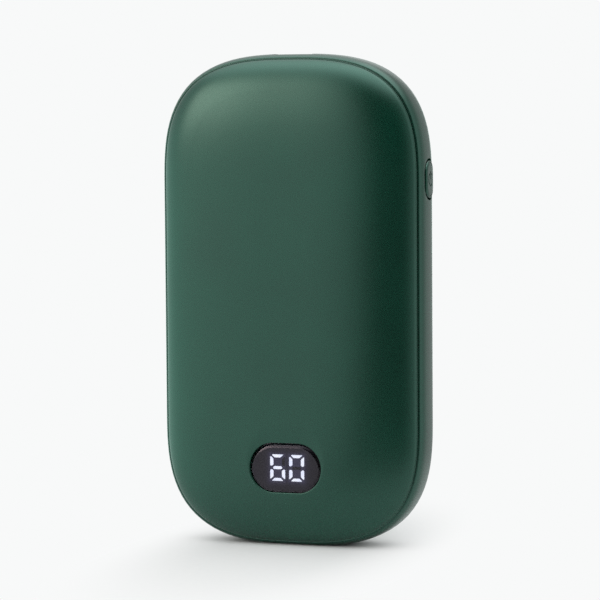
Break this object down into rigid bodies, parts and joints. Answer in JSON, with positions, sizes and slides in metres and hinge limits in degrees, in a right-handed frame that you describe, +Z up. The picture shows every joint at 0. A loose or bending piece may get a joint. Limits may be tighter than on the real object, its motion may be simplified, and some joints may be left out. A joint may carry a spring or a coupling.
{
  "type": "rechargeable hand warmer",
  "caption": "Flat rounded pocket hand warmer with two snapped shells, side push button, bottom charging port, lanyard bar and a small window with lit digits.",
  "frame": {"origin": "centre of the flat foot that the object stands on; Y = 0 is the widest plane of the case", "axes": "+Z up along the length, -Y out of the front face with the display, +X towards the side with the button"},
  "size_m": [0.0629, 0.0192, 0.1115],
  "materials": {
    "soft_touch_green": "soft-touch lacquer on moulded ABS, fine satin",
    "smoked_window": "polished smoked acrylic",
    "black_adhesive": "matte foam tape",
    "black_display_body": "matte moulded",
    "lit_segment": "white light guide, lit",
    "unlit_segment": "grey light guide, unlit",
    "gold_pin": "plated",
    "ivory_nylon": "moulded nylon",
    "black_nylon": "moulded nylon",
    "port_steel": "nickel plated",
    "green_laminate": "solder mask",
    "carrier_abs": "moulded ABS",
    "zinc_screw": "zinc plated",
    "chip_epoxy": "moulded epoxy",
    "ferrite": "sintered",
    "ceramic_body": "glazed",
    "cell_foil": "laminated foil",
    "nickel_strip": "nickel",
    "red_wire": "silicone",
    "black_wire": "silicone",
    "white_wire": "silicone",
    "blue_wire": "silicone",
    "white_foam": "needled insulation felt",
    "amber_film": "polyimide",
    "spreader_aluminium": "rolled",
    "blue_epoxy": "dipped",
    "bar_steel": "polished"
  },
  "bodies": {
    "case": {"front_shell": "soft_touch_green", "rear_shell": "soft_touch_green", "display_lens": "smoked_window", "lens_adhesive": "black_adhesive", "display_housing": "black_display_body", "lit_segments": "lit_segment", "unlit_segments": "unlit_segment", "display_pins": "gold_pin", "switch_body": "black_nylon", "switch_cover": "port_steel", "switch_board": "green_laminate", "inner_frame": "carrier_abs", "frame_screws": "zinc_screw", "board_screws": "zinc_screw", "main_board": "green_laminate", "usb_c_shell": "port_steel", "usb_c_tongue": "black_nylon", "control_chips": "chip_epoxy", "power_inductor": "ferrite", "ceramic_capacitors": "ceramic_body", "battery_connector": "ivory_nylon", "heater_connectors": "ivory_nylon", "battery_cell": "cell_foil", "cell_tabs": "nickel_strip", "protection_board": "green_laminate", "battery_lead_red": "red_wire", "battery_lead_black": "black_wire", "front_foam_pad": "white_foam", "rear_foam_pad": "white_foam", "front_heater_film": "amber_film", "rear_heater_film": "amber_film", "front_heat_plate": "spreader_aluminium", "rear_heat_plate": "spreader_aluminium", "thermistor": "blue_epoxy", "front_heater_leads": "red_wire", "rear_heater_leads": "red_wire", "thermistor_leads": "white_wire", "switch_leads": "blue_wire", "lanyard_bar": "bar_steel"},
    "button": {"power_button": "soft_touch_green"},
    "plunger": {"switch_plunger": "ivory_nylon"}
  },
  "joints": [
    {"name": "button_press", "type": "slide", "parent": "case", "child": "button", "axis": [-1, 0, 0], "range_m": [0, 0.00035], "stiffness_N_per_m": 4000},
    {"name": "plunger_press", "type": "slide", "parent": "case", "child": "plunger", "axis": [-1, 0, 0], "range_m": [0, 0.0006]}
  ],
  "couplings": [
    {"joint": "plunger_press", "follows": "button_press", "ratio": 1}
  ]
}
